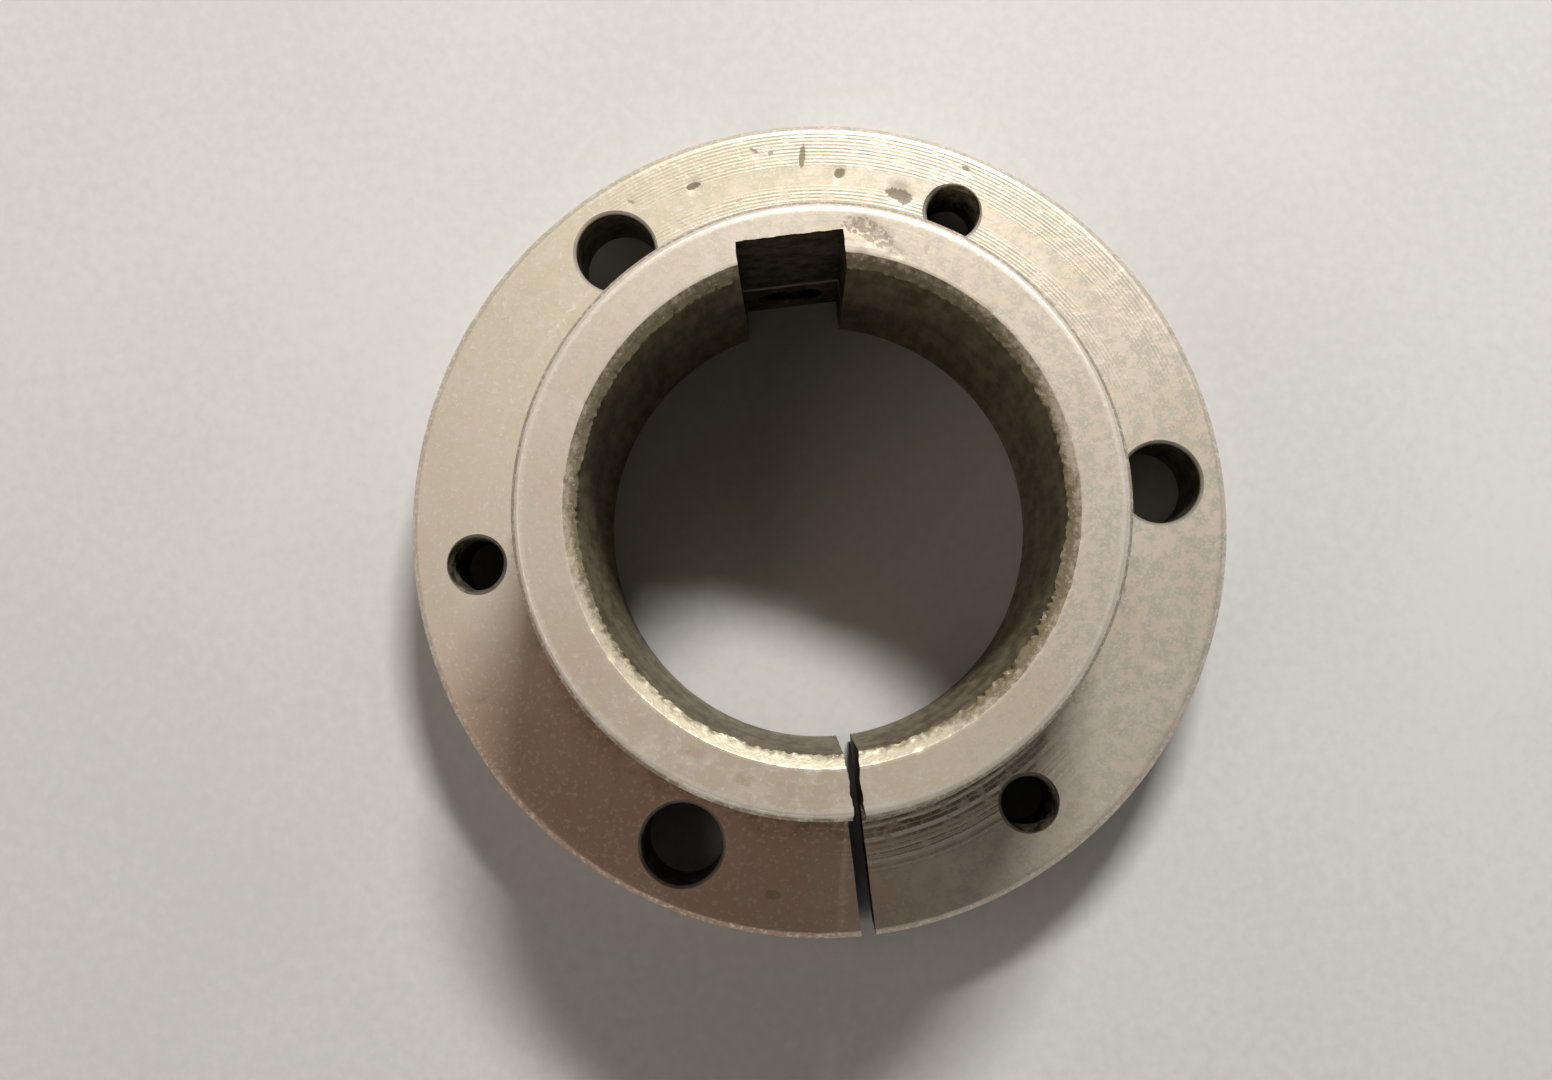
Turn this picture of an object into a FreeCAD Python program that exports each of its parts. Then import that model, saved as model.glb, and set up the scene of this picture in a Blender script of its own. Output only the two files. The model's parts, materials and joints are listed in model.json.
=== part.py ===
import FreeCAD, Part
import os
import re

import Sketcher

# A quick-detachable split taper bushing and the set screw that bears on its shaft key.
# Frame: the bore's axis is Z. The flange's large face lies on Z = 0 and the taper narrows upwards.
# The keyway is at +Y and the saw slit is opposite it, at -Y.

inch = 25.4

# Driving dimensions in millimetres, and the taper as diameter lost per length.
drivingSizes = {
    # bushing body
    "flangeDiameter": 3.1875 * inch,
    "flangeThickness": 0.4375 * inch,
    "overallLength": 1.3125 * inch,
    "taperLargeDiameter": 2.1875 * inch,
    "taperRate": 0.75 / 12.0,
    "boreDiameter": 1.6875 * inch,
    "flangeEdgeBreak": 0.6,
    "noseEdgeBreak": 0.6,
    "boreNoseChamfer": 1.1,
    "boreFlangeChamfer": 0.8,
    "rootFillet": 0.4,
    # keyway and saw slit
    "keywayWidth": 0.375 * inch,
    "keywaySideDepth": 0.125 * inch,
    "slitWidth": 1.4,
    # flange holes
    "boltCircleDiameter": 2.6875 * inch,
    "clearanceDiameter": 0.3125 * inch,
    "clearanceMouthDiameter": 8.6,
    "tapDrillDiameter": 0.201 * inch,
    "tapMouthDiameter": 6.0,
    # set screw over the keyway and its radial hole
    "screwDiameter": 0.25 * inch,
    "screwLength": 0.375 * inch,
    "screwHeadBreak": 0.55,
    "screwPointLength": 1.35,
    "screwFit": 0.06,
    "screwSink": 1.5,
    "cupDiameter": 3.3,
    "cupDepth": 0.95,
    "cupLand": 0.12,
    "socketAcrossFlats": 0.125 * inch,
    "socketDepth": 4.2,
    "screwHoleMouthBreak": 0.5,
}

# Lengths worked out from the driving ones, written with the sheet's own names.
boreRadius = "boreDiameter / 2"
taperRoot = "taperLargeDiameter / 2"
flangeRadius = "flangeDiameter / 2"
screwRadius = "screwDiameter / 2"
screwHeight = "flangeThickness / 2"
noseShoulder = "overallLength - noseEdgeBreak"
keywayRoof = "sqrt((boreDiameter / 2) ^ 2 - (keywayWidth / 2) ^ 2) + keywaySideDepth"


def taperRadiusAt(height):
    """Radius of the taper at a height above the flange's large face."""
    return "taperLargeDiameter / 2 - (%s - flangeThickness) * taperRate / 2" % height


document = FreeCAD.newDocument("TaperBushing")
sheet = document.addObject("Spreadsheet::Sheet", "Sizes")
for row, (alias, value) in enumerate(drivingSizes.items(), start=1):
    sheet.set("A%d" % row, alias)
    sheet.set("B%d" % row, "%.6g" % value)
    sheet.setAlias("B%d" % row, alias)
document.recompute()


def bound(expression):
    """The expression with every driving dimension's name pointed at its cell."""
    def cell(match):
        word = match.group(0)
        return "<<Sizes>>." + word if word in drivingSizes else word
    return re.sub(r"[A-Za-z]+", cell, expression)


def numberOf(expression):
    """The value of an expression at the sheet's present sizes."""
    value = sheet.evalExpression(bound(expression))
    return float(getattr(value, "Value", value))


def addBody(name):
    body = document.addObject("PartDesign::Body", name)
    body.Label = name
    document.recompute()
    return body


def bindPoint(sketch, edge, end, place):
    """Hold one end of an edge at a place given as a pair of expressions."""
    for kind, expression in zip(("DistanceX", "DistanceY"), place):
        constraint = Sketcher.Constraint(kind, -1, 1, edge, end, numberOf(expression))
        index = sketch.addConstraint(constraint)
        sketch.setExpression("Constraints[%d]" % index, bound(expression))


def addOutline(body, name, planeRole, corners):
    """A closed outline of straight edges on one of the body's own origin planes."""
    sketch = body.newObject("Sketcher::SketchObject", name)
    originPlane = [f for f in body.Origin.OriginFeatures if f.Role == planeRole][0]
    sketch.AttachmentSupport = [(originPlane, "")]
    sketch.MapMode = "FlatFace"
    points = [FreeCAD.Vector(numberOf(across), numberOf(up), 0) for across, up in corners]
    count = len(points)
    for index in range(count):
        sketch.addGeometry(Part.LineSegment(points[index], points[(index + 1) % count]), False)
    for index in range(count):
        sketch.addConstraint(Sketcher.Constraint("Coincident", index, 2, (index + 1) % count, 1))
    for index, corner in enumerate(corners):
        bindPoint(sketch, index, 1, corner)
    document.recompute()
    return sketch


def addTurned(body, kind, name, sketch, start, finish):
    """A full turn of a sketch about a construction line from start to finish."""
    ends = [FreeCAD.Vector(numberOf(across), numberOf(up), 0) for across, up in (start, finish)]
    line = sketch.addGeometry(Part.LineSegment(ends[0], ends[1]), True)
    bindPoint(sketch, line, 1, start)
    bindPoint(sketch, line, 2, finish)
    feature = body.newObject(kind, name)
    feature.Profile = sketch
    feature.ReferenceAxis = (sketch, ["Axis0"])
    feature.Angle = 360.0
    document.recompute()
    return feature


def requireCut(body, volumeBefore, name):
    """A cut that points away from the solid removes nothing, so the volume has to fall."""
    if body.Shape.Volume > volumeBefore - 1.0:
        raise RuntimeError("%s removed nothing" % name)


def addRootFillet(body, blank):
    """The inside corner between flange and taper keeps the turning tool's nose radius."""
    before = body.Shape.Volume
    rootRadius, height = numberOf(taperRoot), numberOf("flangeThickness")
    names = ["Edge%d" % number for number, edge in enumerate(blank.Shape.Edges, start=1)
             if isinstance(edge.Curve, Part.Circle)
             and abs(edge.Curve.Radius - rootRadius) < 0.001
             and abs(edge.Curve.Center.z - height) < 0.001]
    fillet = body.newObject("PartDesign::Fillet", "RootFillet")
    fillet.Base = (blank, names)
    fillet.setExpression("Radius", bound("rootFillet"))
    document.recompute()
    if body.Shape.Volume < before + 1.0:
        raise RuntimeError("RootFillet added nothing")


def addSlot(body, name, corners):
    """A straight slot through the whole body, parallel to its Z axis."""
    before = body.Shape.Volume
    sketch = addOutline(body, name + "Outline", "XY_Plane", corners)
    pocket = body.newObject("PartDesign::Pocket", name)
    pocket.Profile = sketch
    pocket.Type = "ThroughAll"
    pocket.Midplane = True
    document.recompute()
    requireCut(body, before, name)


def addHoleRing(body, name, side, drill, mouth):
    """Three equal flange holes, broken at both mouths. The first lies on the X axis, on the side given."""
    before = body.Shape.Volume
    centre = "%d * boltCircleDiameter / 2" % side
    drillEdge = "%s + %d * %s / 2" % (centre, side, drill)
    mouthEdge = "%s + %d * %s / 2" % (centre, side, mouth)
    mouthDepth = "(%s - %s) / 2" % (mouth, drill)
    corners = [
        (centre, "0"),
        (mouthEdge, "0"),
        (drillEdge, mouthDepth),
        (drillEdge, "flangeThickness - " + mouthDepth),
        (mouthEdge, "flangeThickness"),
        (centre, "flangeThickness"),
    ]
    sketch = addOutline(body, name + "Profile", "XZ_Plane", corners)
    cutter = addTurned(body, "PartDesign::Groove", name + "Cutter", sketch,
                       (centre, "0"), (centre, "flangeThickness"))
    requireCut(body, before, name + "Cutter")
    pattern = body.newObject("PartDesign::PolarPattern", name)
    pattern.Originals = [cutter]
    pattern.Axis = (sketch, ["V_Axis"])
    pattern.Angle = 360.0
    pattern.Occurrences = 3
    single = before - body.Shape.Volume
    body.Tip = pattern
    document.recompute()
    requireCut(body, before - 2.5 * single, name)


def makeSplitBushing():
    """Flange, taper barrel, bore, keyway, saw slit and all flange holes are one piece of iron."""
    body = addBody("split_bushing")
    section = [
        (boreRadius + " + boreFlangeChamfer", "0"),
        (flangeRadius + " - flangeEdgeBreak", "0"),
        (flangeRadius, "flangeEdgeBreak"),
        (flangeRadius, "flangeThickness - flangeEdgeBreak"),
        (flangeRadius + " - flangeEdgeBreak", "flangeThickness"),
        (taperRoot, "flangeThickness"),
        (taperRadiusAt("(" + noseShoulder + ")"), noseShoulder),
        (taperRadiusAt("(" + noseShoulder + ")") + " - noseEdgeBreak", "overallLength"),
        (boreRadius + " + boreNoseChamfer", "overallLength"),
        (boreRadius, "overallLength - boreNoseChamfer"),
        (boreRadius, "boreFlangeChamfer"),
    ]
    sketch = addOutline(body, "BushingSection", "XZ_Plane", section)
    blank = addTurned(body, "PartDesign::Revolution", "TurnedBlank", sketch, ("0", "0"), ("0", "overallLength"))
    addRootFillet(body, blank)

    addSlot(body, "Keyway", [
        ("-keywayWidth / 2", "0"),
        ("keywayWidth / 2", "0"),
        ("keywayWidth / 2", keywayRoof),
        ("-keywayWidth / 2", keywayRoof),
    ])
    addSlot(body, "SawSlit", [
        ("-slitWidth / 2", "0"),
        ("-slitWidth / 2", "-flangeDiameter"),
        ("slitWidth / 2", "-flangeDiameter"),
        ("slitWidth / 2", "0"),
    ])

    addHoleRing(body, "ClearanceHoles", 1, "clearanceDiameter", "clearanceMouthDiameter")
    addHoleRing(body, "JackingHoles", -1, "tapDrillDiameter", "tapMouthDiameter")

    # The set screw's radial hole runs from the keyway's roof out through the flange's rim.
    before = body.Shape.Volume
    holeEdge = screwHeight + " + screwDiameter / 2 + screwFit"
    holeSection = [
        (boreRadius, screwHeight),
        (boreRadius, holeEdge),
        (flangeRadius + " - screwHoleMouthBreak", holeEdge),
        (flangeRadius, holeEdge + " + screwHoleMouthBreak"),
        (flangeRadius, screwHeight),
    ]
    sketch = addOutline(body, "ScrewHoleSection", "YZ_Plane", holeSection)
    addTurned(body, "PartDesign::Groove", "ScrewHole", sketch,
              (boreRadius, screwHeight), (flangeRadius, screwHeight))
    requireCut(body, before, "ScrewHole")
    return body


def makeKeySetScrew():
    """A hex-socket cup-point set screw, made with its point at Z = 0 and laid into its radial hole."""
    body = addBody("key_set_screw")
    section = [
        ("0", "cupDepth"),
        ("cupDiameter / 2", "0"),
        ("cupDiameter / 2 + cupLand", "0"),
        (screwRadius, "screwPointLength"),
        (screwRadius, "screwLength - screwHeadBreak"),
        (screwRadius + " - screwHeadBreak", "screwLength"),
        ("0", "screwLength"),
    ]
    sketch = addOutline(body, "ScrewSection", "XZ_Plane", section)
    addTurned(body, "PartDesign::Revolution", "ScrewBlank", sketch, ("0", "cupDepth"), ("0", "screwLength"))

    flat = "socketAcrossFlats / 2"
    tip = "socketAcrossFlats / sqrt(3)"
    side = "socketAcrossFlats / sqrt(12)"
    before = body.Shape.Volume
    hexagon = addOutline(body, "SocketOutline", "XY_Plane", [
        ("0", tip),
        ("-" + flat, side),
        ("-" + flat, "-" + side),
        ("0", "-" + tip),
        (flat, "-" + side),
        (flat, side),
    ])
    hexagon.setExpression("AttachmentOffset.Base.z", bound("screwLength"))
    socket = body.newObject("PartDesign::Pocket", "HexSocket")
    socket.Profile = hexagon
    socket.Type = "Length"
    socket.setExpression("Length", bound("socketDepth"))
    document.recompute()
    requireCut(body, before, "HexSocket")

    # Laid over so that the screw's own Z axis points out through the rim, along +Y.
    body.Placement = FreeCAD.Placement(
        FreeCAD.Vector(0, 0, 0), FreeCAD.Rotation(FreeCAD.Vector(1, 0, 0), -90))
    body.setExpression("Placement.Base.y", bound(flangeRadius + " - screwSink - screwLength"))
    body.setExpression("Placement.Base.z", bound(screwHeight))
    document.recompute()
    return body


subParts = [makeSplitBushing(), makeKeySetScrew()]
document.recompute()

for item in document.Objects:
    if "Invalid" in item.State or "Error" in item.State:
        raise RuntimeError("%s failed: %s" % (item.Name, item.State))

os.makedirs("parts", exist_ok=True)
for body in subParts:
    shape = body.Shape
    if shape.isNull() or not shape.isValid() or len(shape.Solids) != 1:
        raise RuntimeError("%s has no single valid solid" % body.Label)
    shape.exportStep("parts/%s.step" % body.Label)
    box = shape.BoundBox
    print("%s: %.1f mm3, %.2f x %.2f x %.2f mm" % (
        body.Label, shape.Volume, box.XLength, box.YLength, box.ZLength))
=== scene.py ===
import bpy
import bmesh
import json
import math
from mathutils import Matrix, Vector, noise


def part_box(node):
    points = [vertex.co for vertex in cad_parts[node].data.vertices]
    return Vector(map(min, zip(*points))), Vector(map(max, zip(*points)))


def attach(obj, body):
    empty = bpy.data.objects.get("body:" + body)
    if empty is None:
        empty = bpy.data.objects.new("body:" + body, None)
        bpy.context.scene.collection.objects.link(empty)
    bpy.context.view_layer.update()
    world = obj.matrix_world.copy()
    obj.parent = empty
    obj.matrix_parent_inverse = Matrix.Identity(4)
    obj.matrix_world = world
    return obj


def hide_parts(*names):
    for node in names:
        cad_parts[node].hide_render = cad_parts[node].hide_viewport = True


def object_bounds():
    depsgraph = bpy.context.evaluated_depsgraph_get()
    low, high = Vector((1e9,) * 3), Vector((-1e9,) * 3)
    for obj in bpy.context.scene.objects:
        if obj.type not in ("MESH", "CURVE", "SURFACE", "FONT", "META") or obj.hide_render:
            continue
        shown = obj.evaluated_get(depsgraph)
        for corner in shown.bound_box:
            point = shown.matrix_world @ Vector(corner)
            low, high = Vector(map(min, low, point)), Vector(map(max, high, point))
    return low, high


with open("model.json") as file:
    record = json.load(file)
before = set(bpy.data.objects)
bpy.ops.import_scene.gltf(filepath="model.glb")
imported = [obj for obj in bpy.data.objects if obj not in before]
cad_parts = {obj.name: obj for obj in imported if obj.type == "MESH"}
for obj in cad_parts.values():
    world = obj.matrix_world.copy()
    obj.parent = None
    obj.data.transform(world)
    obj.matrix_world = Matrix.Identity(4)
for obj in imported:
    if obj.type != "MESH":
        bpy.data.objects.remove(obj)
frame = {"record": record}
cadLow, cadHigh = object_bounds()

# Split taper bushing lying on its flange: bore along Z, keyway at +Y, saw slit at -Y.
mm = 0.001
fullTurn = 2 * math.pi
mounts = {m["name"]: m for m in frame["record"]["mounts"]}
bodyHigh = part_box("split_bushing")[1]
screwLow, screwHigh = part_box("key_set_screw")
print("frame loaded, object is", [round(c / mm, 2) for c in cadHigh - cadLow], "mm")

bushing = {
    "segments": 780,
    "boreRadius": mounts["shaft_bore"]["dims"]["r_mm"] * mm,
    "flangeRadius": bodyHigh.x,
    "flangeTop": mounts["flange_front"]["pos_m"][2],
    "length": bodyHigh.z,
    "taperRadius": 27.781 * mm,
    "taperRate": 0.75 / 12 / 2,    # lost from the radius; 3/4 in per foot across
    "flangeBreak": 0.6 * mm,
    "noseBreak": 0.6 * mm,
    "boreNoseChamfer": 1.1 * mm,
    "boreFlangeChamfer": 0.8 * mm,
    "rootFillet": 0.4 * mm,
    "boltRadius": mounts["cap_screw_holes"]["dims"]["pcd_mm"] * mm / 2,
    "clearRadius": mounts["cap_screw_holes"]["dims"]["hole_r_mm"] * mm,
    "clearMouth": 0.33 * mm,
    "tapRadius": mounts["jacking_holes"]["dims"]["hole_r_mm"] * mm,
    "tapMouth": 0.45 * mm,
    "threadPitch": 1.27 * mm,
    "threadDepth": 0.45 * mm,
    "threadBeyond": 0.13 * mm,     # how far a thread's cutter runs past the flange
    "tapSides": 48,
    "clearSides": 84,
    "screwHoleRadius": 3.24 * mm,
    "screwHoleThread": 0.22 * mm,
    "screwHoleMouth": 0.5 * mm,
    "screwHoleBeyond": 0.6 * mm,
    "keywayWidth": 9.525 * mm,
    "keywayRoof": mounts["keyway"]["pos_m"][1],
    "slitWidth": 1.4 * mm,
    "tearSize": 0.15 * mm,
    "tearRough": 0.16 * mm,        # added where the tool tore worst, right of the slit
    "noseWearFrom": 26 * mm,
}


def taperAt(height):
    # the barrel's radius at a height
    return bushing["taperRadius"] - (height - bushing["flangeTop"]) * bushing["taperRate"]


# Faces and edges that the finishes follow, in millimetres like the place that a material reads.
flangeFace = bushing["flangeTop"] / mm
noseFace = bushing["length"] / mm
rimEdge = (bushing["flangeRadius"] - bushing["flangeBreak"]) / mm
rootEdge = bushing["taperRadius"] / mm
noseEdge = (taperAt(bushing["length"] - bushing["noseBreak"]) - bushing["noseBreak"]) / mm

# Knocks and chips: radius and degrees round the axis, half length and half width, turn, depth, dirt.
flangeKnocks = [
    (36.4, 103.6, 0.62, 0.30, 12, 0.09, 1.0),
    (37.2, 85.8, 1.00, 0.26, 80, 0.08, 0.8),
    (35.5, 79.8, 0.48, 0.40, 20, 0.10, 0.9),
    (34.2, 69.6, 1.10, 0.50, 160, 0.12, 0.9),
    (33.9, 68.6, 0.50, 0.60, 70, 0.12, 0.8),
    (38.8, 60.7, 0.36, 0.22, 150, 0.07, 0.8),
    (38.3, 93.0, 0.40, 0.16, 150, 0.05, 0.7),
    (37.8, 90.6, 0.25, 0.16, 20, 0.05, 0.6),
    (37.6, 113.4, 0.34, 0.15, 150, 0.05, 0.6),
    (36.6, 119.5, 0.25, 0.14, 30, 0.04, 0.5),
    (33.6, 97.0, 0.30, 0.18, 40, 0.05, 0.3),
    (37.5, 201.0, 0.45, 0.25, 10, 0.06, 0.3),
    (36.5, 256.0, 0.70, 0.40, 170, 0.07, 0.6),
    (36.0, 331.0, 0.50, 0.30, 60, 0.07, 0.2),
]
noseKnocks = [
    (25.0, 75.0, 1.50, 0.70, 165, 0.06, 0.65),
    (24.3, 71.3, 1.30, 0.65, 150, 0.06, 0.60),
    (23.4, 66.5, 0.80, 0.26, 155, 0.05, 0.35),
    (24.4, 61.0, 0.40, 0.22, 80, 0.04, 0.25),
    (24.6, 247.0, 0.70, 0.28, 150, 0.05, 0.35),
    (24.9, 258.0, 0.60, 0.26, 170, 0.05, 0.35),
    (24.2, 236.0, 0.80, 0.28, 140, 0.05, 0.30),
]
noseFlecks = [
    (24.7, 71.6, 0.38, 0.26, 10, 0.0, 0.9),
    (23.3, 77.0, 0.95, 0.20, 165, 0.0, 0.9),
    (23.3, 73.0, 0.60, 0.18, 160, 0.0, 0.8),
    (25.9, 77.0, 0.80, 0.18, 175, 0.0, 0.8),
]


def knockCentre(knock):
    turn = math.radians(knock[1])
    return knock[0] * math.cos(turn), knock[0] * math.sin(turn)


class Wire:
    # wraps one socket of a material, so that shader maths reads as plain expressions
    def __init__(self, tree, socket=None):
        self.tree = tree
        self.socket = socket

    def node(self, kind, settings=None, sockets=None, output=0):
        made = self.tree.nodes.new(kind)
        for name, value in (settings or {}).items():
            setattr(made, name, value)
        for name, value in (sockets or {}).items():
            if isinstance(value, Wire):
                self.tree.links.new(value.socket, made.inputs[name])
            else:
                made.inputs[name].default_value = value
        return Wire(self.tree, made.outputs[output])

    def maths(self, operation, *values):
        return self.node("ShaderNodeMath", {"operation": operation}, dict(enumerate(values)))

    def __add__(self, other):
        return self.maths("ADD", self, other)

    def __radd__(self, other):
        return self.maths("ADD", other, self)

    def __sub__(self, other):
        return self.maths("SUBTRACT", self, other)

    def __rsub__(self, other):
        return self.maths("SUBTRACT", other, self)

    def __mul__(self, other):
        return self.maths("MULTIPLY", self, other)

    def __rmul__(self, other):
        return self.maths("MULTIPLY", other, self)

    def __truediv__(self, other):
        return self.maths("DIVIDE", self, other)

    def __rtruediv__(self, other):
        return self.maths("DIVIDE", other, self)

    def __pow__(self, other):
        return self.maths("POWER", self, other)

    def within(self, low, high):
        # 0 at low, 1 at high and smooth between them; low may be the larger
        settings = {"interpolation_type": "SMOOTHSTEP"}
        return self.node("ShaderNodeMapRange", settings, {"Value": self, "From Min": low, "From Max": high})

    def tint(self, clean, worn):
        # one colour where this value is 0, the other where it is 1
        settings = {"data_type": "RGBA", "clamp_factor": True}
        return self.node("ShaderNodeMix", settings, {0: self, 6: colourOf(clean), 7: colourOf(worn)}, 2)


def colourOf(value):
    return value if isinstance(value, Wire) else (*value, 1.0)


def startMaterial(name):
    # an empty material with its shader, and wires for the place on the object in millimetres
    material = bpy.data.materials.new(name)
    material.use_nodes = True
    tree = material.node_tree
    shader = tree.nodes["Principled BSDF"]
    place = Wire(tree).node("ShaderNodeTexCoord", output=3)
    scaled = place.node("ShaderNodeVectorMath", {"operation": "SCALE"}, {0: place, "Scale": 1 / mm})
    parts = scaled.node("ShaderNodeSeparateXYZ", sockets={0: scaled})
    x, y, z = [Wire(tree, output) for output in parts.socket.node.outputs]
    return material, shader, scaled, x, y, z


def finishMaterial(shader, colour, roughness, metallic, height, bumpDepth):
    tree = shader.id_data
    sockets = {"Height": height, "Distance": bumpDepth, "Strength": 1.0}
    bump = Wire(tree).node("ShaderNodeBump", sockets=sockets)
    tree.links.new(bump.socket, shader.inputs["Normal"])
    for name, value in (("Base Color", colour), ("Roughness", roughness), ("Metallic", metallic)):
        if isinstance(value, Wire):
            tree.links.new(value.socket, shader.inputs[name])
        else:
            shader.inputs[name].default_value = value


def grain(place, scale, detail=3.0, roughness=0.55, stretch=None):
    # soft noise, 0 to 1, whose grains are about 1 / scale millimetres
    if stretch:
        place = place.node("ShaderNodeVectorMath", {"operation": "MULTIPLY"}, {0: place, 1: stretch})
    sockets = {"Vector": place, "Scale": scale, "Detail": detail, "Roughness": roughness}
    return place.node("ShaderNodeTexNoise", {}, sockets)


def rings(feed, perMillimetre, detail=2.0):
    # uneven turning lines along a feed direction, 0 to 1
    sockets = {"W": feed * perMillimetre, "Scale": 1.0, "Detail": detail, "Roughness": 0.6}
    return feed.node("ShaderNodeTexNoise", {"noise_dimensions": "1D"}, sockets)


def dirtyKnocks(x, y, knocks, ragged):
    # 1 inside the listed knocks, by how dirty each is
    mask = None
    for knock in knocks:
        centreX, centreY = knockCentre(knock)
        lean = math.radians(knock[4])
        along = (x - centreX) * (math.cos(lean) / knock[2]) + (y - centreY) * (math.sin(lean) / knock[2])
        across = (y - centreY) * (math.cos(lean) / knock[3]) - (x - centreX) * (math.sin(lean) / knock[3])
        reach = (along * along + across * across) ** 0.5 + ragged
        spot = reach.within(1.35, 1.0) * knock[6]
        mask = spot if mask is None else mask.maths("MAXIMUM", mask, spot)
    return mask


ironFinish = {
    "clean": (0.60, 0.53, 0.445),
    "warm": (0.58, 0.495, 0.395),
    "olive": (0.55, 0.49, 0.345),
    "grey": (0.415, 0.39, 0.32),
    # burnished metal colour, also used for painted highlights
    "burnished": (0.80, 0.745, 0.66),
    # dark stain colour, also used for painted shade
    "stain": (0.13, 0.10, 0.055),
    # a warm copper colour, used as painted shadow colour on the flange
    "copper": (0.42, 0.245, 0.16),
    "feedPitch": 0.36,                    # millimetres a turn
    "witness": (-0.65, 0.0, 32.45),       # ring rubbed bright by the hub: x, y, radius
    "grooveDepth": 0.012 * mm,
}


def sector(x, y, degrees, spread):
    # 1 in one direction from the axis, fading to 0 at spread degrees to either side
    turn = math.radians(degrees)
    length = (x * x + y * y + 1e-6) ** 0.5
    facing = (x * math.cos(turn) + y * math.sin(turn)) / length
    return facing.within(math.cos(math.radians(spread)), 1.0)


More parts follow.
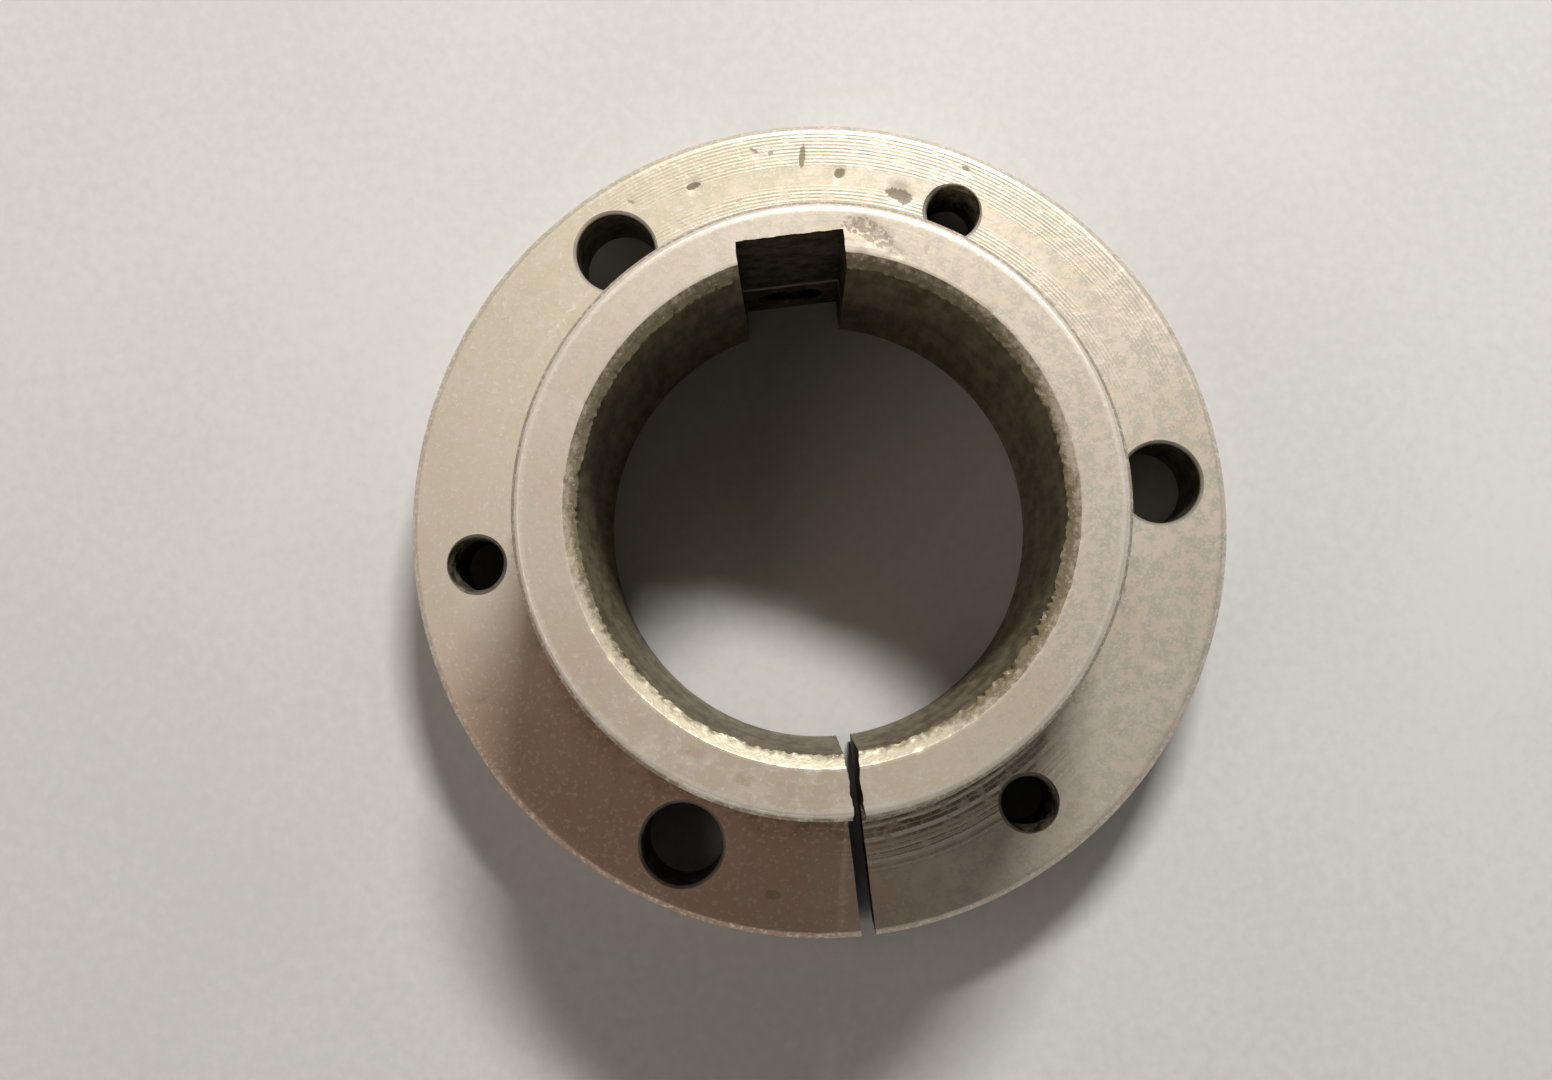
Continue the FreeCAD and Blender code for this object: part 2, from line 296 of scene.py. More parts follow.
def makeTurnedIron():
    look = ironFinish
    material, shader, place, x, y, z = startMaterial("turnedIron")
    radius = (x * x + y * y) ** 0.5
    cloud = grain(place, 0.13, 3.0, 0.55)
    mottle = grain(place, 0.75, 4.0, 0.62)
    flecks = grain(place, 2.1, 3.0, 0.62)
    ragged = grain(place, 2.6, 2.0, 0.7) * 1.3 - 0.65
    onFlange = z.within(flangeFace + 1.3, flangeFace + 0.4)
    onNose = z.within(noseFace - 1.15, noseFace - 0.45)

    # turning marks: a regular feed that comes and goes, and uneven lines over it
    feed = radius + z * 1.37 + cloud * 0.12
    turns = feed * (fullTurn / look["feedPitch"])
    regular = turns.maths("SINE", turns) * 0.5 + 0.5
    coarse = rings(feed, 0.9, 3.0)
    fine = rings(feed, 5.5, 3.0)
    strength = rings(feed, 0.25, 1.0).within(0.34, 0.58) * onFlange * mottle.within(0.30, 0.52)
    strength = strength * (sector(x, y, 66, 62) * 1.2 + 0.12) + 0.04
    strength = strength + (1 - onFlange) * (1 - onNose) * 0.45
    height = regular * strength * 0.8 + coarse * 0.35 + fine * (0.15 + strength * 0.7)
    height = height + flecks * 0.45 + mottle * 0.9

    # a ring rubbed bright by the hub, grime, darker towards the barrel's root, and deep turning lines there
    # with painted glints between them
    ringX, ringY, ringRadius = look["witness"]
    span = ((x - ringX) * (x - ringX) + (y - ringY) * (y - ringY)) ** 0.5
    offset = span - ringRadius + ragged * 0.08
    rubbed = offset.maths("ABSOLUTE", offset).within(0.46, 0.08) * onFlange * cloud.within(0.34, 0.52)
    rubbed = rubbed * sector(x, y, 95, 120)
    root = radius.within(rootEdge + 5.2, rootEdge + 0.8) * onFlange
    deep = rings(radius + cloud * 0.5 + ragged * 0.10, 2.3, 1.0) - 0.5
    deepArea = sector(x, y, 289, 26) * radius.within(rootEdge + 7.2, rootEdge + 5.4) * onFlange
    deepArea = deepArea * mottle.within(0.32, 0.52) * 1.3
    # painted highlight: glints on the light lines between the deep turning lines
    glint = deep.within(0.03, 0.08) * deepArea
    deep = deep.within(-0.01, -0.07) * deepArea
    grimeAndShade = (mottle * 0.7 + root * 0.32 + cloud * 0.28 + coarse * 0.10 - 0.05).within(0.62, 0.92)
    pits = flecks.within(0.70, 0.80)
    knocked = dirtyKnocks(x, y, flangeKnocks, ragged) * onFlange
    knocked = knocked + dirtyKnocks(x, y, noseKnocks, ragged) * onNose * flecks.within(0.38, 0.52)

    # edges burnished by handling, scuffs and flecks, painted glints between the deep lines, and a painted
    # shade line on the nose's edge break
    span = radius + ragged * 0.3
    bright = span.within(noseEdge - 0.7, noseEdge - 0.2) * z.within(noseFace - 1.44, noseFace - 0.74) * 0.55
    handled = span.within(rimEdge - 0.13, rimEdge + 0.22) * onFlange * flecks.within(0.36, 0.56)
    bright = bright + handled * 0.35
    scuffs = grain(place, 0.45, 2.0, 0.5).within(0.42, 0.66) * sector(x, y, 249, 50) * onNose * 0.9
    scuffs = scuffs + dirtyKnocks(x, y, noseFlecks, ragged) * onNose
    # painted shade: a thin dark ring on the steep part of the nose's edge break, standing in for the dark
    # line along the barrel's edge
    edgeShadeLine = radius.within(noseEdge + 0.20, noseEdge + 0.32) * z.within(noseFace - 1.44, noseFace - 0.94)
    edgeShadeLine = edgeShadeLine * (ragged * 0.6 + 0.70)
    bright = bright * (1 - edgeShadeLine) + rubbed * 0.28 + scuffs * 0.55 + glint * 0.7
    bright = (bright + flecks.within(0.52, 0.64) * 0.36).within(0.0, 1.0)

    warmth = (cloud * 0.9 + coarse * 0.1).within(0.36, 0.70)
    # painted shadow colour: a warm copper tint, strongest round 234 degrees where the barrel's shadow lies
    # on the flange, plus uneven tone from the cloud and near the root
    copper = (root * 0.25 + cloud * 0.30 + sector(x, y, 234, 60) * 0.75).within(0.25, 1.05)
    copper = copper * (onFlange * 0.75 + 0.25)
    olive = sector(x, y, 118, 58) * onFlange * (mottle.within(0.40, 0.56) * 0.50 + 0.12)
    olive = olive + sector(x, y, 262, 60) * onNose * mottle.within(0.38, 0.60) * 0.5
    # grey patches at random, weighted to grow towards +X: that weighting is painted shade, darker on that
    # side as the light falls
    greyPatchesAndSideShade = (mottle * 0.55 + flecks * 0.45).within(0.44, 0.56) * (x * 0.009 + 0.52 + onNose * 0.06)
    greyPatchesAndSideShade = greyPatchesAndSideShade + sector(x, y, 112, 50) * onFlange * 0.15 - sector(x, y, 262, 70) * onNose * 0.45
    colour = warmth.tint(look["clean"], look["warm"])
    colour = olive.tint(colour, look["olive"])
    colour = greyPatchesAndSideShade.tint(colour, look["grey"])
    colour = (copper * 0.72).tint(colour, look["copper"])
    # grime and the deep lines, darker towards the root round 300 degrees, and the painted shade line on the
    # nose's edge
    grimeAndShade = grimeAndShade * 0.55 + deep * 0.55 + sector(x, y, 300, 60) * root * 0.30 + edgeShadeLine * 0.80
    colour = grimeAndShade.tint(colour, look["stain"])
    colour = bright.tint(colour, look["burnished"])
    colour = (pits * 0.35 + knocked * 0.85).tint(colour, look["stain"])
    roughness = 0.40 + mottle * 0.14 + flecks * 0.06 + grimeAndShade * 0.12 + knocked * 0.2 - bright * 0.10
    metallic = 0.66 - grimeAndShade * 0.25 - pits * 0.15 - knocked * 0.3
    height = height - deep * 0.7 - rubbed * 0.3
    finishMaterial(shader, colour, roughness, metallic, height, look["grooveDepth"])
    return material


boreFinish = {
    "bare": (0.225, 0.19, 0.12),
    "oxide": (0.085, 0.068, 0.040),
    "rust": (0.12, 0.075, 0.036),
    "depth": 0.03 * mm,
}


def makeBoredWall():
    look = boreFinish
    material, shader, place, _, _, z = startMaterial("boredWall")
    streaks = grain(place, 1.0, 4.0, 0.6, (1.0, 1.0, 0.16))
    film = grain(place, 0.22, 3.0, 0.6)
    speck = grain(place, 2.2, 3.0, 0.6)
    lines = rings(z + film * 0.4, 3.2, 3.0)
    colour = (streaks * 0.6 + film * 0.4).within(0.34, 0.66).tint(look["bare"], look["oxide"])
    colour = ((speck * 0.5 + film * 0.5).within(0.54, 0.68) * 0.5).tint(colour, look["rust"])
    roughness = 0.48 + film * 0.15 + speck * 0.10
    metallic = 0.42 - film * 0.2
    height = lines * 0.5 + speck * 0.5 + streaks * 0.6
    finishMaterial(shader, colour, roughness, metallic, height, look["depth"])
    return material


tornFinish = {
    "bright": (0.72, 0.65, 0.50),
    "oxide": (0.19, 0.155, 0.095),
    "depth": 0.05 * mm,
}


def makeTornEdge():
    look = tornFinish
    material, shader, place, x, y, z = startMaterial("tornEdge")
    tears = grain(place, 1.5, 4.0, 0.65)
    speck = grain(place, 3.6, 2.0, 0.6)
    film = grain(place, 0.25, 2.0)
    # dark and torn at the chamfer's inner edge, turned clean at its outer one, with painted shade where the
    # chamfer faces away from the key lamp
    inner = z.within(noseFace - 0.30, noseFace - 1.15)
    worst = sector(x, y, 325, 45)
    shade = sector(x, y, 105, 150)
    grimeAndShade = inner * 0.34 + tears * 0.80 + film * 0.25 + speck * 0.20 + worst * 0.40 + shade * 0.42
    grimeAndShade = grimeAndShade.within(0.66, 1.16)
    chips = speck.within(0.62, 0.72) * tears.within(0.46, 0.56)
    colour = grimeAndShade.tint(look["bright"], look["oxide"])
    colour = (chips * 0.6).tint(colour, ironFinish["burnished"])
    roughness = 0.36 + speck * 0.2 + grimeAndShade * 0.12
    finishMaterial(shader, colour, roughness, 0.62 - grimeAndShade * 0.25, tears * 0.8 + speck * 0.5, look["depth"])
    return material


drilledFinish = {
    "steel": (0.17, 0.145, 0.10),
    "oil": (0.022, 0.018, 0.011),
    "depth": 0.03 * mm,
}


def makeDrilledWall():
    look = drilledFinish
    material, shader, place, x, y, z = startMaterial("drilledWall")
    film = grain(place, 0.6, 3.0, 0.6)
    speck = grain(place, 2.6, 3.0, 0.6)
    lines = rings(z + film * 0.3, 3.6, 2.0)
    # the cut stays bright at the flange's front face and is oily further in; the mouth is painted lighter
    # on the side towards the key lamp
    mouth = z.within(flangeFace - 0.59, flangeFace - 0.31)
    colour = (film * 0.6 + speck * 0.4).within(0.62, 0.36).tint(look["oil"], look["steel"])
    # painted light: the mouth's lighter side faces the key lamp round 75 degrees
    lit = sector(x, y, 75, 120) * 0.55 + 0.15
    mouth = mouth * z.within(flangeFace + 0.9, flangeFace + 0.2)
    colour = (mouth * lit).tint(colour, ironFinish["burnished"])
    roughness = 0.36 + film * 0.22
    metallic = 0.8 - film * 0.3
    finishMaterial(shader, colour, roughness, metallic, lines * 0.7 + speck * 0.4, look["depth"])
    return material


screwFinish = {
    "oxide": (0.022, 0.022, 0.026),
    "worn": (0.16, 0.155, 0.15),
    "depth": 0.006 * mm,
}


def makeBlackOxide():
    look = screwFinish
    material, shader, place, *_ = startMaterial("blackOxide")
    film = grain(place, 1.4, 3.0, 0.6)
    speck = grain(place, 6.0, 3.0, 0.6)
    colour = (film * 0.6 + speck * 0.4).within(0.56, 0.70).tint(look["oxide"], look["worn"])
    roughness = 0.28 + speck * 0.2
    metallic = 0.8 + film * 0.15
    finishMaterial(shader, colour, roughness, metallic, speck + film * 0.5, look["depth"])
    return material


floorFinish = {
    "pale": (0.50, 0.495, 0.485),
    "paler": (0.55, 0.545, 0.535),
    "depth": 0.01 * mm,
}


def makePaleFloor():
    look = floorFinish
    material, shader, place, *_ = startMaterial("paleFloor")
    speck = grain(place, 0.8, 4.0, 0.6)
    cloud = grain(place, 0.02, 2.0, 0.5)
    colour = (speck * 0.5 + cloud * 0.5).within(0.35, 0.65).tint(look["pale"], look["paler"])
    finishMaterial(shader, colour, 0.75 + speck * 0.1, 0.0, speck, look["depth"])
    return material


finishes = {
    "turned": makeTurnedIron(),
    "bored": makeBoredWall(),
    "torn": makeTornEdge(),
    "drilled": makeDrilledWall(),
    "screw": makeBlackOxide(),
    "floor": makePaleFloor(),
}
bushingSlots = ["turned", "bored", "torn", "drilled"]
print("materials made:", len(finishes))


def ripple(place, size, seed=0.0):
    # smooth noise about -1 to 1 whose lumps are about size across
    return noise.noise(Vector(place) / size + Vector((seed, 1.7 * seed, 0.3)))


def clamp(value, low, high):
    return max(low, min(high, value))


def fillet(before, here, after, radius, steps):
    # points of an arc that rounds the corner here
    if radius <= 0:
        return [here]
    inward = (before - here).normalized()
    outward = (after - here).normalized()
    half = inward.angle(outward) / 2
    centre = here + (inward + outward).normalized() * (radius / math.sin(half))
    first = here + inward * (radius / math.tan(half)) - centre
    last = here + outward * (radius / math.tan(half)) - centre
    turn = first.angle_signed(last)
    points = []
    for step in range(steps + 1):
        arm = first.copy()
        arm.rotate(Matrix.Rotation(-turn * step / steps, 2))
        points.append(centre + arm)
    return points


def sectionLoop(corners):
    # corners are (radius, height, rounding, step of the stretch that follows, slot of that stretch)
    places = [Vector((c[0], c[1])) for c in corners]
    count = len(corners)
    arcs = []
    for index, corner in enumerate(corners):
        before, after = places[index - 1], places[(index + 1) % count]
        arcs.append(fillet(before, places[index], after, corner[2], 3 if corner[2] > 0.1 * mm else 2))
    loop = []
    for index, corner in enumerate(corners):
        step, slot = corner[3], corner[4]
        earlier = corners[index - 1][4]
        arc = arcs[index]
        for number, point in enumerate(arc):
            loop.append((point, earlier if number < len(arc) // 2 else slot))
        start, finish = arc[-1], arcs[(index + 1) % count][0]
        pieces = max(1, round((finish - start).length / step))
        for number in range(1, pieces):
            # a little closer together towards both ends, where the edges are
            share = number / pieces
            share = share * 0.6 + (0.5 - 0.5 * math.cos(math.pi * share)) * 0.4
            loop.append((start.lerp(finish, share), slot))
    return loop


def meshFrom(form, name):
    bmesh.ops.recalc_face_normals(form, faces=form.faces)
    mesh = bpy.data.meshes.new(name)
    form.to_mesh(mesh)
    form.free()
    return mesh


def turnedMesh(name, loop, segments, move):
    # a ring swept from a closed section, each point shifted by move(radius, angle, height)
    form = bmesh.new()
    rows = []
    for segment in range(segments):
        angle = fullTurn * segment / segments
        row = []
        for point, slot in loop:
            radius, height = move(point.x, angle, point.y)
            row.append(form.verts.new((radius * math.cos(angle), radius * math.sin(angle), height)))
        rows.append(row)
    for segment in range(segments):
        here, there = rows[segment], rows[(segment + 1) % segments]
        for index in range(len(loop)):
            nextIndex = (index + 1) % len(loop)
            face = form.faces.new((here[index], there[index], there[nextIndex], here[nextIndex]))
            face.material_index = loop[index][1]
    return meshFrom(form, name)


def placeMesh(mesh, slots):
    made = bpy.data.objects.new(mesh.name, mesh)
    bpy.context.scene.collection.objects.link(made)
    for slot in slots:
        mesh.materials.append(finishes[slot])
    return made


def cutAway(target, cutter):
    # subtracts cutter from target and throws it away
    change = target.modifiers.new("cut", "BOOLEAN")
    change.operation = "DIFFERENCE"
    change.solver = "EXACT"
    change.object = cutter
    bpy.context.view_layer.update()
    evaluated = target.evaluated_get(bpy.context.evaluated_depsgraph_get())
    result = bpy.data.meshes.new_from_object(evaluated)
    target.modifiers.remove(change)
    old = target.data
    target.data = result
    bpy.data.meshes.remove(old)
    result.name = target.name
    bpy.data.objects.remove(cutter)


def stackedMesh(name, rows, slot):
    # closes a stack of equal rings of points into a solid, with a fan at each end
    form = bmesh.new()
    stack = [[form.verts.new(point) for point in row] for row in rows]
    count = len(stack[0])
    for lower, upper in zip(stack, stack[1:]):
        for index in range(count):
            following = (index + 1) % count
            form.faces.new((lower[index], lower[following], upper[following], upper[index]))
    for ring, flip in ((stack[0], True), (stack[-1], False)):
        hub = form.verts.new(sum((v.co for v in ring), Vector()) / count)
        for index in range(count):
            corners = [ring[index], ring[(index + 1) % count], hub]
            form.faces.new(corners[::-1] if flip else corners)
    for face in form.faces:
        face.material_index = slot
    return meshFrom(form, name)


def knockDepth(place, knocks):
    # how far the knocks press in the face at a place
    deepest = 0.0
    for knock in knocks:
        centreX, centreY = knockCentre(knock)
        aside = Vector((place.x / mm - centreX, place.y / mm - centreY))
        if aside.length > knock[2] * 1.5:
            continue
        lean = math.radians(knock[4])
        along = (aside.x * math.cos(lean) + aside.y * math.sin(lean)) / knock[2]
        across = (aside.y * math.cos(lean) - aside.x * math.sin(lean)) / knock[3]
        reach = math.hypot(along, across) + ripple(place, 0.5 * mm, knock[1]) * 0.4
        deepest = max(deepest, knock[5] * mm * clamp((1.3 - reach) * 1.8, 0.0, 1.0))
    return deepest


def wearBody(radius, angle, height):
    # tears the bore's nose edge, dulls the other edges and presses in the knocks
    size = bushing
    place = Vector((radius * math.cos(angle), radius * math.sin(angle), height))
    lift = height - size["length"] + size["boreNoseChamfer"]
    away = math.hypot(radius - size["boreRadius"], lift * 0.7)
    if away < 1.2 * mm:
        tear = math.exp(-(away / (0.34 * mm)) ** 2)
        worst = math.exp(-((math.degrees(angle) - 322) / 26) ** 2)
        reach = size["tearSize"] + size["tearRough"] * worst
        teeth = 0.8 - 2.4 * abs(ripple(place, 0.62 * mm, 3.0)) + ripple(place, 0.33 * mm, 9.0) * 0.5
        radius -= reach * tear * (teeth + ripple(place, 3 * mm, 5.0) * 0.5)
        height += reach * 0.6 * tear * ripple(place, 0.5 * mm, 14.0)

    rim = math.hypot(radius - size["boreRadius"] - size["boreNoseChamfer"], height - size["length"])
    if rim < 0.6 * mm:
        chip = math.exp(-(rim / (0.16 * mm)) ** 2) * max(0.0, ripple(place, 1.3 * mm, 21.0) - 0.10)
        radius += 0.16 * mm * chip
        height -= 0.06 * mm * chip

    if radius > size["flangeRadius"] - size["flangeBreak"] * 1.6:
        radius -= 0.06 * mm * max(0.0, ripple(place, 2.0 * mm, 30.0) - 0.10)
    if abs(height - size["length"]) < 0.5 * mm:
        height -= knockDepth(place, noseKnocks)
        if radius > size["noseWearFrom"]:
            radius -= 0.05 * mm * max(0.0, ripple(place, 1.6 * mm, 33.0))
    if abs(height - size["flangeTop"]) < 0.3 * mm:
        height -= knockDepth(place, flangeKnocks)
    return radius, height


def makeBushingBlank():
    size = bushing
    flangeTop, length = size["flangeTop"], size["length"]
    boreRadius, flangeRadius = size["boreRadius"], size["flangeRadius"]
    shoulder = length - size["noseBreak"]
    noseRadius = taperAt(shoulder)
    turned, bored, torn = [bushingSlots.index(slot) for slot in ("turned", "bored", "torn")]
    edge, eased = 0.08 * mm, 0.4 * mm
    corners = [
        (boreRadius + size["boreFlangeChamfer"], 0, edge, 3.5 * mm, turned),
        (flangeRadius - size["flangeBreak"], 0, edge, 0.5 * mm, turned),
        (flangeRadius, size["flangeBreak"], eased, 3.0 * mm, turned),
        (flangeRadius, flangeTop - size["flangeBreak"], eased, 0.3 * mm, turned),
        (flangeRadius - size["flangeBreak"], flangeTop, eased, 0.52 * mm, turned),
        (size["taperRadius"], flangeTop, size["rootFillet"], 3.5 * mm, turned),
        (noseRadius, shoulder, eased, 0.5 * mm, turned),
        (noseRadius - size["noseBreak"], length, eased, 0.42 * mm, turned),
        (boreRadius + size["boreNoseChamfer"], length, 0.05 * mm, 0.18 * mm, torn),
        (boreRadius, length - size["boreNoseChamfer"], 0.05 * mm, 2.2 * mm, bored),
        (boreRadius, size["boreFlangeChamfer"], edge, 0.6 * mm, bored),
    ]
    loop = sectionLoop(corners)
    print("bushing section has", len(loop), "points")
    return placeMesh(turnedMesh("bushing_body", loop, size["segments"], wearBody), bushingSlots)


def slabCutter(name, low, high, steps, shake):
    # a block whose skin is a grid, shaken so that the cut isn't perfectly flat
    form = bmesh.new()
    bmesh.ops.create_cube(form, size=1.0)
    extent = high - low
    for vert in form.verts:
        vert.co = Vector([(low[i] + high[i]) / 2 + vert.co[i] * extent[i] for i in range(3)])
    for axis in range(3):
        for number in range(1, steps[axis]):
            place = Vector((0, 0, 0))
            place[axis] = low[axis] + extent[axis] * number / steps[axis]
            normal = Vector((0, 0, 0))
            normal[axis] = 1
            everything = form.verts[:] + form.edges[:] + form.faces[:]
            bmesh.ops.bisect_plane(form, geom=everything, plane_co=place, plane_no=normal)
    for vert in form.verts:
        vert.co = shake(vert.co)
    for face in form.faces:
        face.material_index = bushingSlots.index("drilled")
    return placeMesh(meshFrom(form, name), bushingSlots)


def nearNose(place, reach):
    # 1 at the nose face, 0 further down than reach
    return clamp(1 - (bushing["length"] - place.z) / reach, 0.0, 1.0)


def makeKeywayCutter():
    size = bushing
    half = size["keywayWidth"] / 2

    def shake(place):
        moved = place.copy()
        side = 1 if place.x > 0 else -1
        nose = nearNose(place, 1.0 * mm)
        moved.x += 0.03 * mm * ripple(place, 1.5 * mm, 5.0)
        moved.x += side * 0.16 * mm * nose * (ripple(place, 0.8 * mm, 6.0) + 0.2)
        if place.y > size["keywayRoof"] - 0.1 * mm:
            moved.y += 0.03 * mm * ripple(place, 1.3 * mm, 7.0)
            moved.y += 0.16 * mm * nose * (ripple(place, 0.7 * mm, 8.0) + 0.3)
        return moved

    low = Vector((-half, size["boreRadius"] * 0.6, -2 * mm))
    high = Vector((half, size["keywayRoof"], size["length"] + 2 * mm))
    return slabCutter("keywayCutter", low, high, (22, 12, 50), shake)


def makeSlitCutter():
    size = bushing
    half = size["slitWidth"] / 2

    def shake(place):
        moved = place.copy()
        side = 1 if place.x > 0 else -1
        nose = nearNose(place, 1.3 * mm)
        moved.x += 0.03 * mm * ripple(place, 2.5 * mm, 40.0)
        burr = 0.20 + 0.24 * ripple(place, 1.3 * mm, 41.0 + side)
        burr += 0.16 * ripple(place, 0.45 * mm, 43.0 + side)
        moved.x -= side * nose * mm * clamp(burr, 0.0, 0.42)
        return moved

    low = Vector((-half, -size["flangeRadius"] - 2 * mm, -2 * mm))
    high = Vector((half, -size["boreRadius"] + 3 * mm, size["length"] + 1 * mm))
    return slabCutter("slitCutter", low, high, (2, 80, 60), shake)


def ringOf(radius, height, sides):
    angles = [fullTurn * side / sides for side in range(sides)]
    return [(radius * math.cos(a), radius * math.sin(a), height) for a in angles]


def threadRows(core, depth, low, high, sides, mouths, beyond):
    # rings of points along Z of a threaded hole, opened by mouths at its low and high ends
    pitch = bushing["threadPitch"]
    rows = []
    start, finish = low - beyond, high + beyond
    count = round((finish - start) / (pitch / 6))
    for row in range(count + 1):
        height = start + (finish - start) * row / count
        opening = max(mouths[0] - (height - low), mouths[1] - (high - height), 0.0)
        ring = []
        for side in range(sides):
            phase = (height / pitch - side / sides) % 1.0
            ridge = clamp((1 - abs(2 * phase - 1)) * 1.35 - 0.15, 0.0, 1.0)
            radius = max(core + depth * ridge, core + opening)
            angle = fullTurn * side / sides
            ring.append((radius * math.cos(angle), radius * math.sin(angle), height))
        rows.append(ring)
    return rows


def plainRows(radius, mouth, low, high, sides):
    # rings of points along Z of a plain hole whose two mouths are broken
    outline = [
        (radius + mouth * 1.6, low - mouth * 0.6),
        (radius + mouth * 0.45, low + mouth * 0.55),
        (radius + mouth * 0.10, low + mouth * 0.95),
        (radius, low + mouth * 1.4),
        (radius, low * 0.67 + high * 0.33),
        (radius, low * 0.33 + high * 0.67),
        (radius, high - mouth * 1.4),
        (radius + mouth * 0.10, high - mouth * 0.95),
        (radius + mouth * 0.45, high - mouth * 0.55),
        (radius + mouth * 1.6, high + mouth * 0.6),
    ]
    return [ringOf(ringRadius, height, sides) for ringRadius, height in outline]


def moveRows(rows, matrix):
    return [[matrix @ Vector(point) for point in row] for row in rows]


def cutFlangeHoles(body):
    size = bushing
    drilled = bushingSlots.index("drilled")
    mouths = (size["tapMouth"], size["tapMouth"])
    top = size["flangeTop"]
    core, thread = size["tapRadius"], size["threadDepth"]
    tapped = threadRows(core, thread, 0, top, size["tapSides"], mouths, size["threadBeyond"])
    plain = plainRows(size["clearRadius"], size["clearMouth"], 0, top, size["clearSides"])
    for place in range(6):
        angle = fullTurn * place / 6
        centre = Vector((math.cos(angle), math.sin(angle), 0)) * size["boltRadius"]
        # each hole is turned a little differently, so that no two threads start alike
        placed = Matrix.Translation(centre) @ Matrix.Rotation(1.1 * place + 0.2, 4, "Z")
        rows = moveRows(plain if place % 2 == 0 else tapped, placed)
        cutAway(body, placeMesh(stackedMesh("holeCutter", rows, drilled), bushingSlots))


def cutScrewHole(body):
    size = bushing
    drilled = bushingSlots.index("drilled")
    low, high = size["keywayRoof"], size["flangeRadius"]
    core, thread = size["screwHoleRadius"], size["screwHoleThread"]
    mouths = (0, size["screwHoleMouth"])
    rows = threadRows(core, thread, low, high, size["tapSides"], mouths, size["screwHoleBeyond"])
    turn = Matrix.Rotation(-math.pi / 2, 4, "X")
    rows = moveRows(rows, Matrix.Translation((0, 0, size["flangeTop"] / 2)) @ turn)
    cutAway(body, placeMesh(stackedMesh("screwHoleCutter", rows, drilled), bushingSlots))


def sharpenEdges(target, degrees):
    # smooth shading that breaks where two faces meet at more than the angle
    form = bmesh.new()
    form.from_mesh(target.data)
    bmesh.ops.remove_doubles(form, verts=form.verts, dist=0.001 * mm)
    bmesh.ops.dissolve_degenerate(form, edges=form.edges, dist=0.0005 * mm)
    for face in form.faces:
        face.smooth = True
    limit = math.radians(degrees)
    for edge in form.edges:
        edge.smooth = len(edge.link_faces) == 2 and edge.calc_face_angle(0.0) < limit
    form.to_mesh(target.data)
    form.free()


body = makeBushingBlank()
print("blank turned:", len(body.data.polygons), "faces")
cutAway(body, makeKeywayCutter())
cutAway(body, makeSlitCutter())
cutFlangeHoles(body)
cutScrewHole(body)
sharpenEdges(body, 38)
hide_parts("split_bushing")
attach(body, "bushing")
corners = sum(len(face.vertices) - 2 for face in body.data.polygons)
print("bushing body cut:", len(body.data.polygons), "faces,", corners, "triangles")

screw = {
    "radius": (screwHigh.x - screwLow.x) / 2 - 0.005 * mm,
    "length": screwHigh.y - screwLow.y,
    "height": (screwLow.z + screwHigh.z) / 2,
    "threadDepth": 0.62 * mm,
    "headBreak": 0.75 * mm,
    "pointBreak": 1.35 * mm,
    "cupRadius": 1.65 * mm,
    "cupDepth": 0.95 * mm,
    "socketFlats": 3.175 * mm,
    "socketDepth": 4.2 * mm,
    "socketPoint": 0.9 * mm,
    "socketMouth": 0.16 * mm,
    "sides": 64,
    "rows": 96,
}


def screwRadiusAt(height, turn):
    # the thread's radius at a height and a share of a turn, run out at both ends
    size = screw
    rise = (size["radius"] - size["cupRadius"]) / size["pointBreak"]
    limit = min(size["cupRadius"] + 0.1 * mm + height * rise,
                size["radius"] - size["headBreak"] + size["length"] - height)
    phase = (height / bushing["threadPitch"] - turn) % 1.0
    ridge = clamp((1 - abs(2 * phase - 1)) * 1.35 - 0.12, 0.0, 1.0)
    return min(size["radius"] - size["threadDepth"] * (1 - ridge), limit)


def makeSetScrew():
    size = screw
    sides = size["sides"]
    rows = []
    for share in (0.1, 0.35, 0.6, 0.85):
        depth = size["cupDepth"] * (1 - share ** 2) ** 0.5
        rows.append(ringOf(size["cupRadius"] * share, depth, sides))
    for row in range(size["rows"] + 1):
        height = size["length"] * row / size["rows"]
        ring = []
        for side in range(sides):
            radius = screwRadiusAt(height, side / sides)
            angle = fullTurn * side / sides
            ring.append((radius * math.cos(angle), radius * math.sin(angle), height))
        rows.append(ring)
    made = placeMesh(stackedMesh("set_screw", rows, 0), ["screw"])

    # the hexagon socket, with a drill point at its bottom and an eased mouth
    reach = size["socketFlats"] / math.sqrt(3)
    top = size["socketDepth"]
    outline = ((0.999, -0.3 * mm), (1.0, 0.0), (1.0, top), (1.09, top + size["socketMouth"]))
    hexRows = [ringOf(reach * 0.3, -size["socketPoint"], 24)]
    for scale, height in outline:
        ring = []
        for corner in range(6):
            first = Vector((math.cos(fullTurn * corner / 6), math.sin(fullTurn * corner / 6)))
            second = Vector((math.cos(fullTurn * (corner + 1) / 6), math.sin(fullTurn * (corner + 1) / 6)))
            for part in range(4):
                spot = first.lerp(second, part / 4) * reach * scale
                ring.append((spot.x, spot.y, height))
        hexRows.append(ring)
    hexRows = moveRows(hexRows, Matrix.Translation((0, 0, size["length"] - top)))
    cutAway(made, placeMesh(stackedMesh("socketCutter", hexRows, 0), ["screw"]))
    sharpenEdges(made, 35)
    turn = Matrix.Rotation(-math.pi / 2, 4, "X")
    made.data.transform(Matrix.Translation((0, screwLow.y, size["height"])) @ turn)
    return made


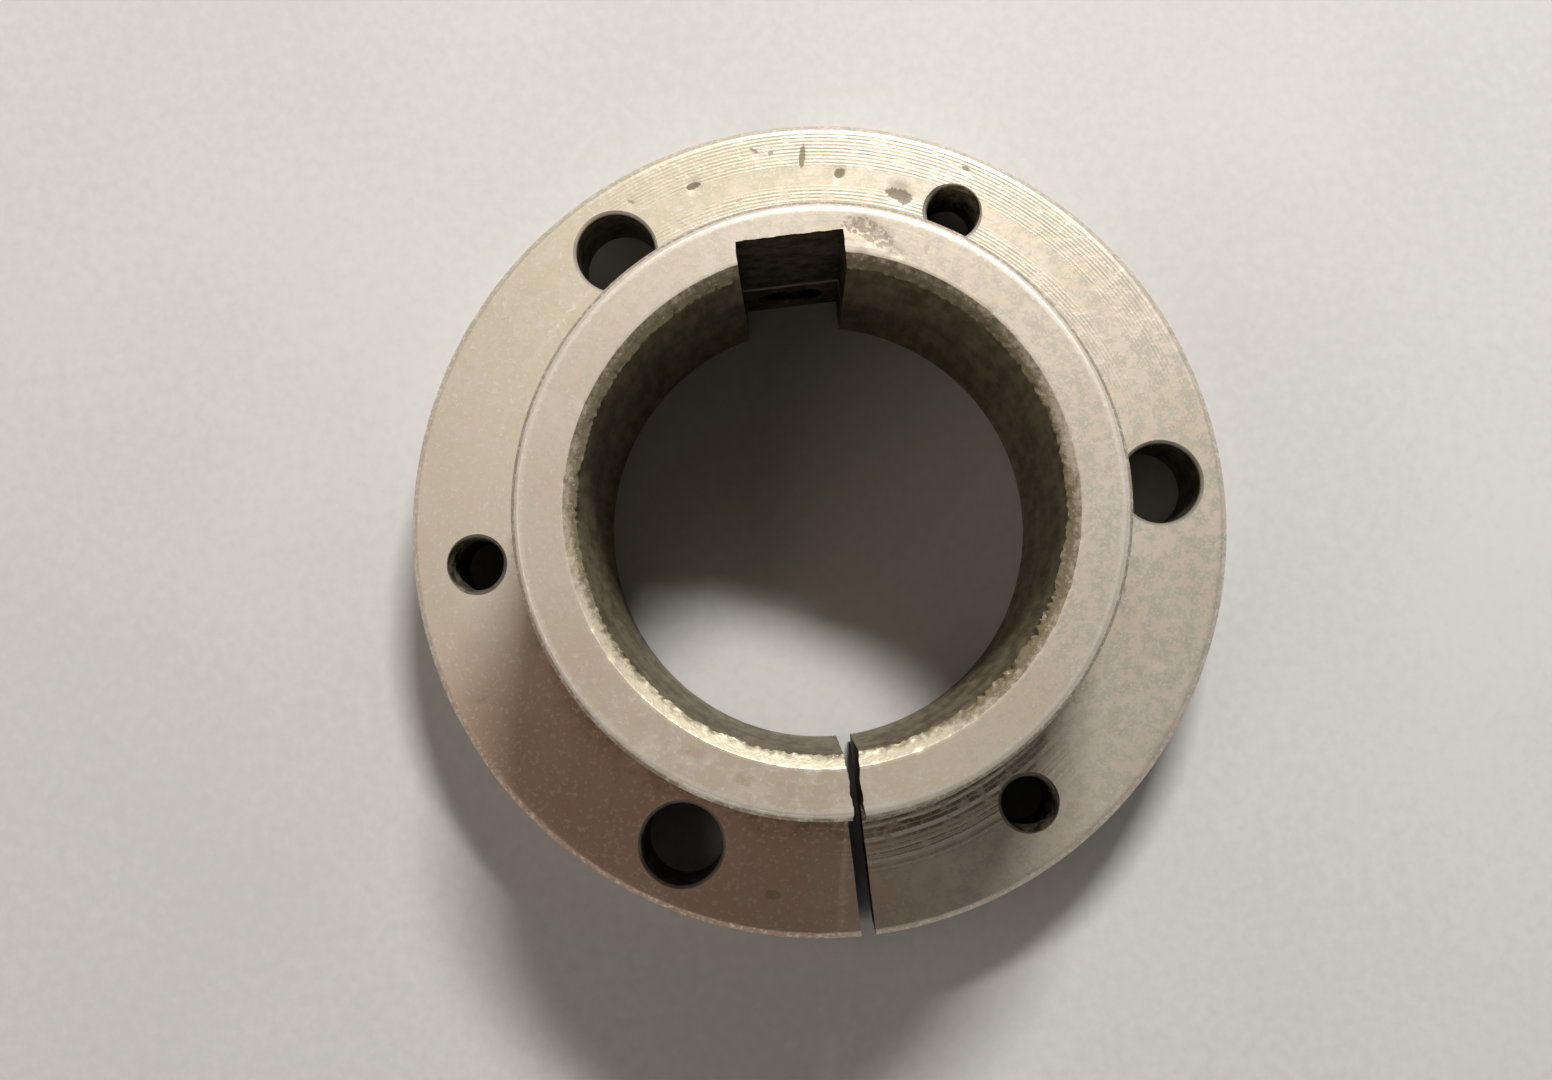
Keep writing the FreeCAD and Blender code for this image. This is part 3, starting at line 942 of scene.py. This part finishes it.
setScrew = makeSetScrew()
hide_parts("key_set_screw")
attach(setScrew, "set_screw")
print("set screw made:", len(setScrew.data.polygons), "faces")

stageSize = {
    "floorHalf": 1.6,
    "floorGap": 0.04 * mm,
    "roomTone": (0.96, 0.92, 0.88),
    "horizon": 0.42,
    "zenith": 0.05,
}
lamps = {
    # name: degrees round Z from +X, degrees above the floor, distance, size across and up, watts, colour
    "key": (70.5, 45.5, 0.60, (0.15, 0.05), 4.6, (1.0, 0.98, 0.945)),
    "fill": (176.0, 50.0, 0.80, (0.50, 0.40), 0.9, (1.0, 0.84, 0.74)),
    "low": (246.0, 20.0, 0.90, (0.60, 0.20), 0.4, (1.0, 0.93, 0.84)),
}


def makeFloor():
    form = bmesh.new()
    bmesh.ops.create_grid(form, x_segments=8, y_segments=8, size=stageSize["floorHalf"])
    mesh = meshFrom(form, "floor")
    mesh.transform(Matrix.Translation((0, 0, cadLow.z - stageSize["floorGap"])))
    return placeMesh(mesh, ["floor"])


def makeLamps():
    for name, (around, up, distance, size, power, tone) in lamps.items():
        light = bpy.data.lights.new(name, "AREA")
        light.shape = "RECTANGLE"
        light.size, light.size_y = size
        light.energy = power
        light.color = tone
        lamp = bpy.data.objects.new(name, light)
        bpy.context.scene.collection.objects.link(lamp)
        a, e = math.radians(around), math.radians(up)
        direction = Vector((math.cos(a) * math.cos(e), math.sin(a) * math.cos(e), math.sin(e)))
        lamp.location = direction * distance
        lamp.rotation_euler = (-direction).to_track_quat("-Z", "Y").to_euler()


def makeRoom():
    # a soft room that is bright round the horizon and dim overhead
    world = bpy.data.worlds.new("softRoom")
    bpy.context.scene.world = world
    world.use_nodes = True
    tree = world.node_tree
    direction = Wire(tree).node("ShaderNodeTexCoord")
    height = direction.node("ShaderNodeSeparateXYZ", sockets={0: direction}, output=2)
    tones = [[c * stageSize[level] for c in stageSize["roomTone"]] for level in ("horizon", "zenith")]
    glow = height.within(0.30, 0.85).tint(*tones)
    background = tree.nodes["Background"]
    tree.links.new(glow.socket, background.inputs["Color"])


makeFloor()
makeLamps()
makeRoom()

viewpoint = {
    "place": Vector((-3.2, -11.5, 187.8)) * mm,
    "pitch": -5.14,              # degrees about X, then Y, then the roll about the view
    "yaw": 0.26,
    "roll": 6.79,
    "lens": 41.43,               # on a 36 mm wide film
    "shift": (-0.009, -0.037),
}


def makeCamera():
    look = viewpoint
    data = bpy.data.cameras.new("viewpoint")
    data.sensor_width = 36
    data.lens = look["lens"]
    data.shift_x, data.shift_y = look["shift"]
    data.clip_start, data.clip_end = 0.01, 10
    camera = bpy.data.objects.new("viewpoint", data)
    bpy.context.scene.collection.objects.link(camera)
    turn = Matrix.Rotation(math.radians(look["roll"]), 3, "Z")
    turn = turn @ Matrix.Rotation(math.radians(look["yaw"]), 3, "Y")
    turn = turn @ Matrix.Rotation(math.radians(look["pitch"]), 3, "X")
    camera.matrix_world = Matrix.Translation(look["place"]) @ turn.transposed().to_4x4()
    bpy.context.scene.camera = camera


makeCamera()
bpy.context.scene.view_settings.view_transform = "Standard"
print("stage, lamps and camera set")
